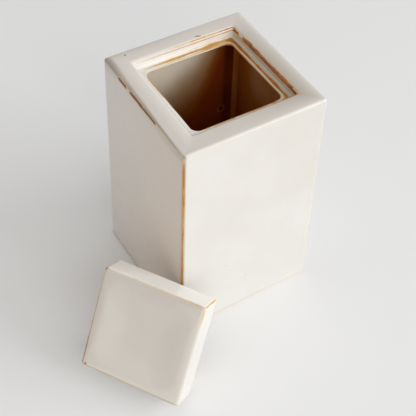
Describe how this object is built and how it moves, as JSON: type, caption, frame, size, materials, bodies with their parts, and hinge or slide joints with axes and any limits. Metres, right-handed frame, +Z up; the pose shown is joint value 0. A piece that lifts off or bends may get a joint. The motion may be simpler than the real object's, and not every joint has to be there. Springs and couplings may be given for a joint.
{
  "type": "lidded jar",
  "caption": "Square glazed stoneware jar with a thick flat rim and a drop-in square lid, shown taken off and leaning on the jar.",
  "frame": {"origin": "middle of the jar's foot, on the surface that it stands on", "axes": "+Z up; the jar's four walls face +X, -X, +Y and -Y; the lid leans on the upright edge between the -X and -Y walls"},
  "size_m": [0.1811, 0.1637, 0.1705],
  "materials": {
    "jar_glaze": "glossy cream glaze that breaks to ochre on the edges",
    "lid_glaze": "glossy cream glaze that breaks to ochre on the edges"
  },
  "bodies": {
    "jar": {"jar": "jar_glaze"},
    "lid": {"lid": "lid_glaze"}
  },
  "joints": [
    {"name": "lid_lift", "type": "slide", "parent": "jar", "child": "lid", "axis": [0, 0, 1], "range_m": [0, 0.18]}
  ]
}
